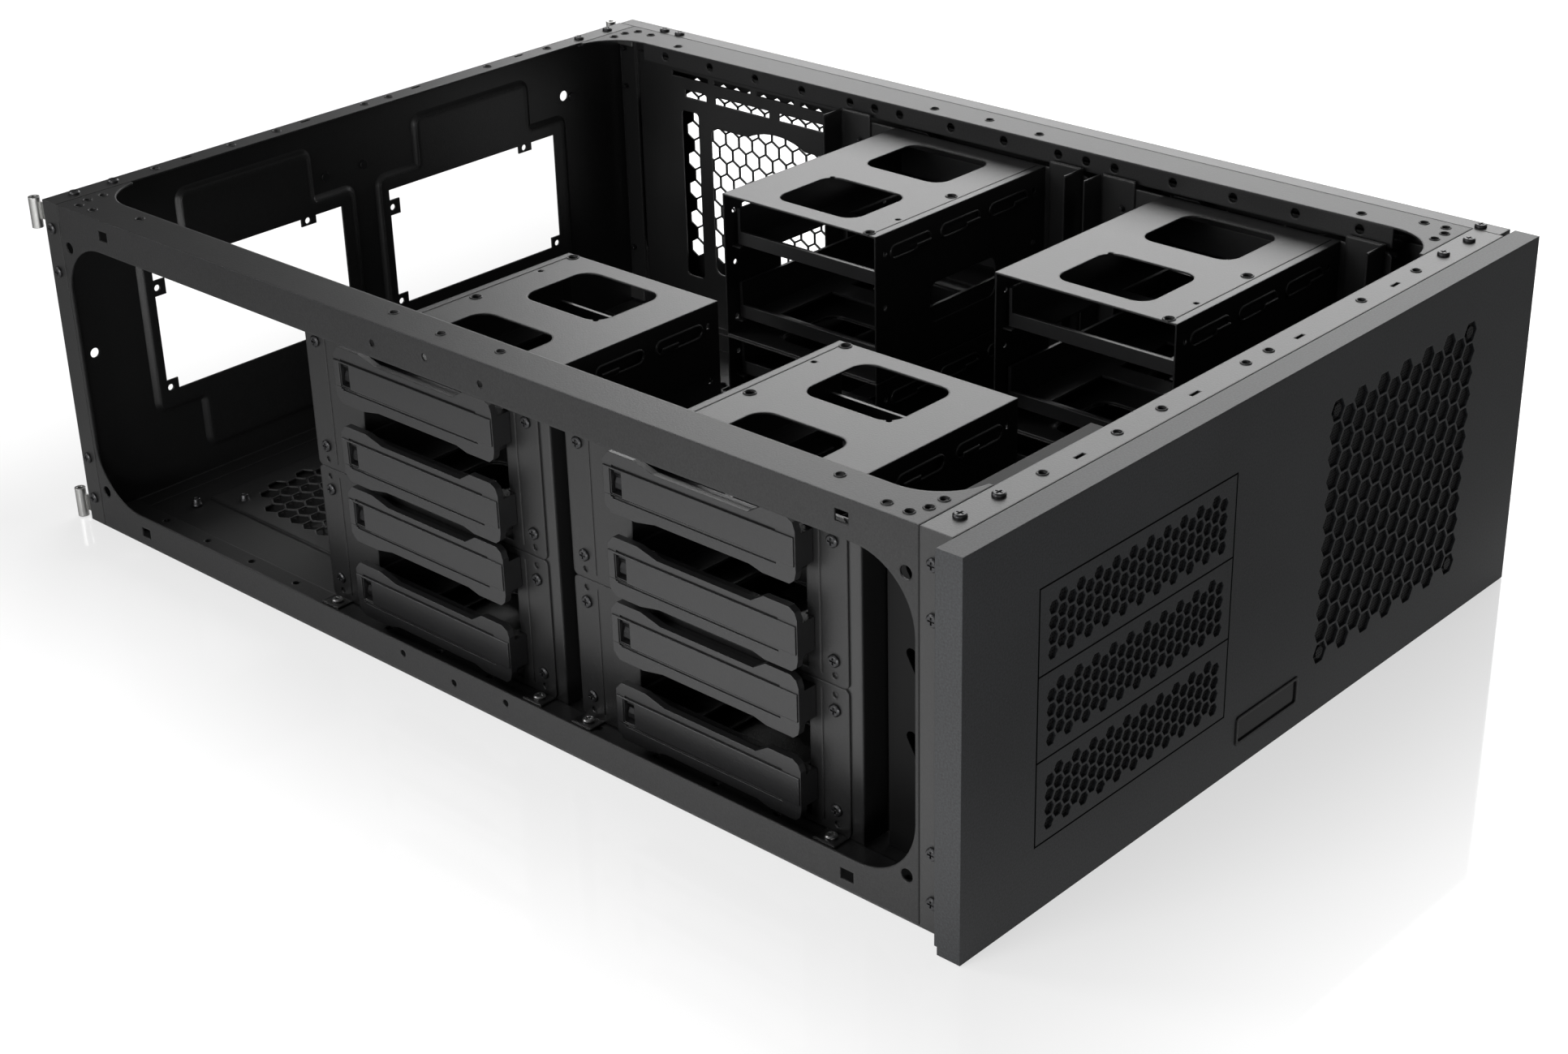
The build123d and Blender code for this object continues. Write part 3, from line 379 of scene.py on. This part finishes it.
# Raised fields of the rear panel: the sheet is pressed inwards round each power supply opening,
# in a stepped outline with rounded corners, and slopes down to the flat of the panel.
y_back = 333.85
inner_skin = y_back - 1.0
field_lefts = (62.6, 244.1)
# One field, from its left mark: the wide middle part and the narrow one, then their heights
wide_part, narrow_part = (-5.0, 152.4), (28.0, 121.0)
wide_heights, narrow_heights = (53.5, 148.5), (20.0, 180.5)
field_corner, least_corner, corner_steps = 4.0, 0.6, 6
# (growth of the outline, depth from the panel's inner skin) down the slope
shoulder = ((4.4, 0.05), (3.4, -0.35), (2.2, -1.6), (1.4, -2.3), (0.2, -2.58), (-1.5, -2.62))


def new_piece(name, points, faces, look, body, smooth=True):
    """A mesh piece in the frame's coordinates (points in mm) that rides on one body."""
    mesh = bpy.data.meshes.new(name)
    mesh.from_pydata([Vector(p) * MM for p in points], [], faces)
    shape = bmesh.new()
    shape.from_mesh(mesh)
    bmesh.ops.recalc_face_normals(shape, faces=shape.faces)
    shape.to_mesh(mesh)
    shape.free()
    for face in mesh.polygons:
        face.use_smooth = smooth
    mesh.materials.append(look)
    piece = bpy.data.objects.new(name, mesh)
    scene.collection.objects.link(piece)
    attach(piece, body)


def skin(rings, count, first=0):
    """Quads between neighbouring rings of count points each, from point number first on."""
    return [(first + ring * count + k, first + ring * count + (k + 1) % count,
             first + (ring + 1) * count + (k + 1) % count, first + (ring + 1) * count + k)
            for ring in range(rings - 1) for k in range(count)]


def field_loop(left, grow):
    """The stepped outline of one field, rounded corners included, in mm."""
    x0, x1 = left - x_side + wide_part[0] - grow, left - x_side + wide_part[1] + grow
    n0, n1 = left - x_side + narrow_part[0] - grow, left - x_side + narrow_part[1] + grow
    step_low, step_high = wide_heights[0] - grow, wide_heights[1] + grow
    low, high = narrow_heights[0] - grow, narrow_heights[1] + grow
    corners = ((n0, low), (n1, low), (n1, step_low), (x1, step_low), (x1, step_high),
               (n1, step_high), (n1, high), (n0, high), (n0, step_high), (x0, step_high),
               (x0, step_low), (n0, step_low))
    loop = []
    for index, here in enumerate(corners):
        before = Vector(corners[index - 1]) - Vector(here)
        after = Vector(corners[(index + 1) % len(corners)]) - Vector(here)
        hollow = before.normalized().cross(after.normalized()) > 0
        radius = max(least_corner, field_corner - grow if hollow else field_corner + grow)
        start, end = before.normalized() * radius, after.normalized() * radius
        for step in range(corner_steps + 1):
            angle = math.pi / 2 * step / corner_steps
            corner = Vector(here) + start * (1 - math.sin(angle)) + end * (1 - math.cos(angle))
            loop.append((corner.x, corner.y))
    return loop


for number, left in enumerate(field_lefts):
    points = [(x, inner_skin + rise, z) for grow, rise in shoulder
              for x, z in field_loop(left, grow)]
    faces = skin(len(shoulder), len(points) // len(shoulder))
    new_piece("rear_field_shoulder_%d" % (number + 1), points, faces, black_steel,
              "case")

# Floor plate: flat sheet steel with two vent fields, black like the frames. Four small turned
# steel studs are pressed into it by the rear panel.
finish_with(black_steel, "floor_plate")
screw_steel = coated("screw_steel", (0.055, 0.055, 0.057), 0.35, metallic=0.9, Height=0.1)
stud_spots = ((-177.8, 297.9), (-155.6, 279.9), (155.6, 279.9), (177.8, 297.9))
stud_profile = ((3.4, 1.6), (3.2, 2.6), (2.5, 2.9), (2.3, 5.6), (1.9, 6.0), (1.0, 6.0), (0.9, 3.2))
stud_sides = 20
for number, (x, y) in enumerate(stud_spots):
    points = [(x + radius * math.cos(math.tau * k / stud_sides),
               y + radius * math.sin(math.tau * k / stud_sides), z)
              for radius, z in stud_profile for k in range(stud_sides)]
    last_ring = tuple(range(len(points) - stud_sides, len(points)))
    new_piece("floor_stud_%d" % (number + 1), points,
              skin(len(stud_profile), stud_sides) + [last_ring], screw_steel, "case")

# Drive cages: folded boxes of black sheet steel, two stacked in each of the four columns. Their
# tops have rimmed holes, and long slots run high along their two walls.
sides = {-1: "left", 1: "right"}
face_inset = {-1: 30.0, 1: 26.0}
far_lift = {-1: 0.0, 1: 16.5}
columns = {-1: {"rear": 351.5, "front": 148.5}, 1: {"rear": 320.0, "front": 120.5}}
finish_with(black_steel, *("cage_%s_%s_%s" % (side, column, cage) for side in sides.values()
                           for column in ("rear", "front") for cage in ("lower", "upper")))
cage_tops = (83.7, 171.7)
# (depth from the face, offset from the cage's middle) of each rimmed hole in a top
top_holes = ((150.4, 50.7), (75.7, 47.9))
slot_depths, wall_offset, slot_drop = (36.0, 80.0, 124.0), 58.0, 13.0
cage_spots, slot_spots = [], []
for side in sides:
    for body_y in columns[side].values():
        for depth, off in top_holes:
            cage_spots.append((from_side(side, face_inset[side] + depth),
                               y_seam + body_y - side * off, cage_tops[1] + far_lift[side]))
        for top in cage_tops:
            for depth in slot_depths:
                for wall in (-wall_offset, wall_offset):
                    slot_spots.append((from_side(side, face_inset[side] + depth),
                                       y_seam + body_y + wall,
                                       top + far_lift[side] - slot_drop))
roll_rims("cage_rims", cage_spots, width=6.4, height=6.4, rim_radius=0.5)
roll_rims("slot_rims", slot_spots, width=34.6, height=7.6, rim_radius=0.8,
          turn=(math.pi / 2, 0.0, 0.0))

# Slot tabs: where a long slot is punched, one half of its sheet is left standing and is bent
# outwards. The tabs are part of the cages' own black steel.
tab_near, tab_far, tab_sheet, tab_lift = 15.0, 3.0, 0.7, 0.5
tab_bends = ((0.0, -3.4), (1.6, -3.0), (2.6, -1.8), (2.9, 0.2))
points, faces = [], []
for x, y, z in slot_spots:
    out = -1.0 if (x, y + 2 * wall_offset, z) in slot_spots else 1.0
    inward = -math.copysign(1.0, x)
    base, count = len(points), 2 * len(tab_bends)
    for along in (x - tab_near * inward, x - tab_far * inward):
        for stand, rise in tab_bends:
            points.append((along, y + out * stand, z + rise))
        for stand, rise in reversed(tab_bends):
            points.append((along, y + out * (stand - tab_sheet), z + rise + tab_lift))
    faces += skin(2, count, base)
    faces += [tuple(range(base, base + count)), tuple(range(base + count, base + 2 * count))]
new_piece("slot_tabs", points, faces, black_steel, "case", smooth=False)

# Posts and fan bracket: angle posts of smoother sheet steel, screwed to the floor plate by foot
# tabs, carry the cages, and a long folded plate beside the door takes the fans.
post_steel = coated("post_steel", (0.010, 0.010, 0.0102), 0.34, specular=0.7,
                    Speckle=0.8, Grain=1500.0, Height=0.6, Edge=0.0024)
finish_with(post_steel, *("post_%s_%s_%s" % (side, column, place) for side in sides.values()
                          for column in ("rear", "front") for place in ("back", "fore")))
finish_with(black_steel, "fan_bracket")

# Front panel and vent filter: a folded steel pan with a coarse, cool black coat, and a sheet of
# fine woven wire clipped behind its hexagon vent. The badge plate is glossy moulded plastic.
front_steel = coated("front_steel", (0.012, 0.0131, 0.0148), 0.48, specular=0.5,
                     Speckle=3.2, Grain=1000.0, Height=1.0)
badge_gloss = coated("badge_gloss", (0.0025, 0.0025, 0.0028), 0.22, specular=0.2, Height=0.0,
                     Edge=0.0009)


def woven(name, wire, hole, pitch):
    """Fine wire mesh: crossing wires, dark between them, lifted where they run."""
    look = bpy.data.materials.new(name)
    look.use_nodes = True
    tree = look.node_tree
    nodes, links = tree.nodes, tree.links
    shader = nodes["Principled BSDF"]
    shader.inputs["Specular IOR Level"].default_value = 0.15
    place = nodes.new("ShaderNodeTexCoord")
    parts = nodes.new("ShaderNodeSeparateXYZ")
    links.new(place.outputs["Object"], parts.inputs["Vector"])
    waves = [maths(tree, "SINE", maths(tree, "MULTIPLY", parts.outputs[axis], math.pi / pitch))
             for axis in ("X", "Z")]
    strands = maths(tree, "MAXIMUM", *(
        ramp(tree, maths(tree, "ABSOLUTE", wave), start=0.45, end=0.7) for wave in waves))
    colour = nodes.new("ShaderNodeMix")
    colour.data_type = "RGBA"
    colour.inputs["A"].default_value = (*hole, 1)
    colour.inputs["B"].default_value = (*wire, 1)
    links.new(strands, colour.inputs["Factor"])
    links.new(colour.outputs["Result"], shader.inputs["Base Color"])
    links.new(ramp(tree, strands, low=0.95, high=0.45), shader.inputs["Roughness"])
    lift = nodes.new("ShaderNodeBump")
    lift.inputs["Distance"].default_value = 0.0004
    links.new(strands, lift.inputs["Height"])
    links.new(lift.outputs["Normal"], shader.inputs["Normal"])
    return look


mesh_wire = woven("mesh_wire", wire=(0.009, 0.009, 0.0095), hole=(0.0006, 0.0006, 0.0006),
                  pitch=0.0016)
finish_with(front_steel, "front_panel")
finish_with(mesh_wire, "vent_filter")
finish_with(badge_gloss, "badge_plate")

# Bay cage and bay covers: a plain steel cage behind the front panel, and three moulded covers with
# a wire mesh insert, pressed into it from the front with a fine gap all round. Thin near-black
# strips laid just in front of these gaps are a painted shadow for the shade in them.
inner_steel = coated("inner_steel", (0.004, 0.004, 0.0041), 0.5, specular=0.12, Speckle=0.8)
seam_shadow = coated("seam_shadow", (0.002, 0.002, 0.002), 0.9, specular=0.05)
finish_with(inner_steel, "bay_cage")
for level in ("lower", "middle", "upper"):
    finish_with(front_steel, "bay_cover_" + level)
    finish_with(mesh_wire, "bay_cover_%s_mesh" % level)
bay_low, bay_pitch, bay_count = 35.4, 43.57, 3
bay_left, bay_right, half_gap = -187.45, -38.05, 0.45
gap_front, gap_back = -345.08, -345.0
bars = [((bay_left - half_gap, bay_right + half_gap),
         (bay_low + step * bay_pitch - half_gap, bay_low + step * bay_pitch + half_gap))
        for step in range(bay_count + 1)]
bars += [((x - half_gap, x + half_gap), (bay_low, bay_low + bay_count * bay_pitch))
         for x in (bay_left, bay_right)]
# Painted shadow: one thin near-black bar over each gap round the covers.
points, faces = [], []
for (x0, x1), (z0, z1) in bars:
    base = len(points)
    for y in (gap_back, gap_front):
        points += [(x0, y, z0), (x1, y, z0), (x1, y, z1), (x0, y, z1)]
    faces += [(base, base + 1, base + 2, base + 3), (base + 4, base + 5, base + 6, base + 7)]
    faces += skin(2, 4, base)
new_piece("bay_gap_painted_shadow", points, faces, seam_shadow, "case", smooth=False)

# Drive trays: moulded in fine-grained black plastic, sliding in the cages' rails. Each has a
# raised band across its face and, in the band's window, a bent spring latch of sheet steel.
tray_plastic = coated("tray_plastic", (0.012, 0.012, 0.0125), 0.36, specular=0.6,
                      Grain=1000.0, Height=1.0, Speckle=0.8, Edge=0.0005)
latch_steel = coated("latch_steel", (0.035, 0.035, 0.036), 0.38, metallic=1.0, Height=0.1)
tray_heights = {"lower": (25.9, 71.5), "upper": (107.2, 152.8)}
half_tray, tray_play, face_stand = 62.0, 0.7, 12.0
# The band's grid lines along the face and up it; the latch's window is its middle cell
band_across, band_up, window_cell = (0.7, 111.0, 119.0, 123.4), (-7.0, -6.4, 6.9, 8.0), (1, 1)
band_root, band_proud, band_round, sharp = 0.1, 0.8, 0.4, 0.5
# (place along the face, share of the full section), and the section as (depth, rise)
lever_length, lever_root = ((112.1, 0.82), (112.6, 1.0), (117.4, 1.0), (117.9, 0.82)), 2.5
lever = ((3.7, -5.4), (2.4, -5.2), (1.3, -3.4), (1.5, -0.8), (2.5, 1.8), (2.1, 3.6), (0.9, 5.0),
         (1.2, 5.9), (2.6, 5.4), (3.6, 3.4), (3.7, 0.4), (3.4, -2.6))


def new_band(tray, side, front, start_y, z):
    """The raised middle band of a tray face, soft-edged, with the latch window left open."""
    shape = bmesh.new()
    grid = [[shape.verts.new(Vector((from_side(side, front + band_root), start_y - side * u,
                                     z + v)) * MM)
             for v in band_up] for u in band_across]
    cells = [shape.faces.new((grid[i][j], grid[i + 1][j], grid[i + 1][j + 1], grid[i][j + 1]))
             for i in range(len(band_across) - 1) for j in range(len(band_up) - 1)
             if (i, j) != window_cell]
    bmesh.ops.recalc_face_normals(shape, faces=cells)
    pushed = bmesh.ops.extrude_face_region(shape, geom=cells)
    moved = [part for part in pushed["geom"] if isinstance(part, bmesh.types.BMVert)]
    for vertex in moved:
        vertex.co.x = from_side(side, front - band_proud) * MM
    bmesh.ops.recalc_face_normals(shape, faces=shape.faces)
    rims = [edge for edge in shape.edges if edge.verts[0] in moved and edge.verts[1] in moved
            and edge.calc_face_angle(0.0) > sharp]
    bmesh.ops.bevel(shape, geom=rims, offset=band_round * MM, segments=2, affect="EDGES",
                    profile=0.6)
    mesh = bpy.data.meshes.new(tray + "_band")
    shape.to_mesh(mesh)
    shape.free()
    mesh.materials.append(tray_plastic)
    band = bpy.data.objects.new(tray + "_band", mesh)
    scene.collection.objects.link(band)
    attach(band, tray)


def new_latch(tray, side, front, start_y, z):
    """The bent lever of one tray with its finger lip, a little rounded at both ends."""
    points = []
    for along, share in lever_length:
        for depth, rise in lever:
            points.append((from_side(side, front + lever_root + (depth - lever_root) * share),
                           start_y - side * along, z + rise * share))
    count = len(lever)
    ends = [tuple(range(count)), tuple(range(len(points) - count, len(points)))]
    new_piece(tray + "_latch", points, skin(len(lever_length), count) + ends, latch_steel,
              tray, smooth=False)


for side, side_name in sides.items():
    front = face_inset[side] - face_stand
    for column, body_y in columns[side].items():
        start_y = y_seam + body_y - side * tray_play + side * half_tray
        for cage, heights in tray_heights.items():
            for number, height in enumerate(heights):
                tray = "tray_%s_%s_%s_%d" % (side_name, column, cage, number + 1)
                z = height + far_lift[side]
                finish_with(tray_plastic, tray)
                new_latch(tray, side, front, start_y, z)
                new_band(tray, side, front, start_y, z)

# Right door and hinges: a perforated pan of the same black sheet steel, which turns on two
# pins. The pins and the rolled barrels, also the pair on the open side, are bare steel.
bare_steel = coated("bare_steel", (0.50, 0.50, 0.49), 0.36, metallic=1.0, Height=0.15)
finish_with(black_steel, "right_door")
finish_with(bare_steel, "left_hinge_barrels", "right_hinge_barrels", "door_hinge_pins")

# Fasteners: dark screws and rivets join the frames, cages and door; the screws in the posts'
# foot tabs are plain zinc-plated ones.
bright_steel = coated("bright_steel", (0.40, 0.40, 0.40), 0.30, metallic=1.0, Height=0.1)
finish_with(screw_steel, "frame_screws", "rear_rivets", "cage_screws", "door_screws")
finish_with(bright_steel, "foot_screws")
